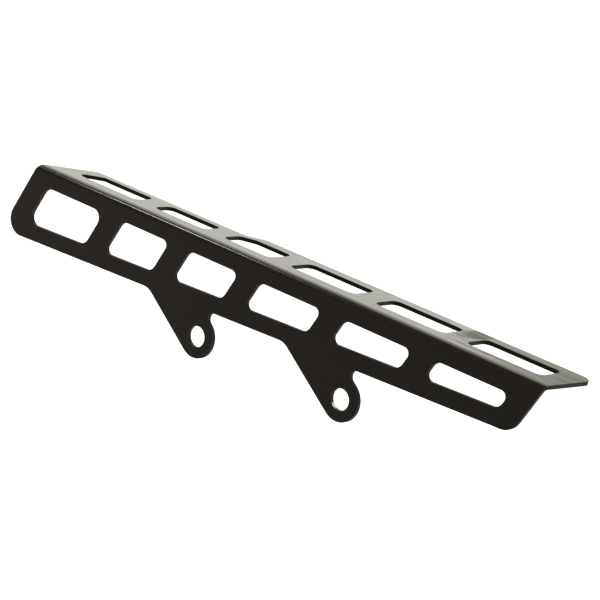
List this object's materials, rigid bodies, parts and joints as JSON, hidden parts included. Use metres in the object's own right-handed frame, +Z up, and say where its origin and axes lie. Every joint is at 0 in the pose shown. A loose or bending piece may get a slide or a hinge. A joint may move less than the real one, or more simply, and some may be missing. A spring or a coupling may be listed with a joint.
{
  "type": "motorcycle belt guard",
  "caption": "Long right-angle sheet-metal belt guard with slotted plate and flange, slanted ends and round bolt lugs, that covers the upper run of a motorcycle's drive belt.",
  "frame": {"origin": "axis of the left bolt hole, on the plate's outer face", "axes": "+X along the fold, towards the lower end of the plate; +Y from the plate's outer face under the flange; +Z up from the bolt hole to the flange"},
  "size_m": [0.3223, 0.0328, 0.0564],
  "materials": {
    "powder_coated_steel": "smooth gloss black powder coat on steel sheet"
  },
  "bodies": {
    "root": {"belt_guard": "powder_coated_steel"}
  },
  "joints": []
}
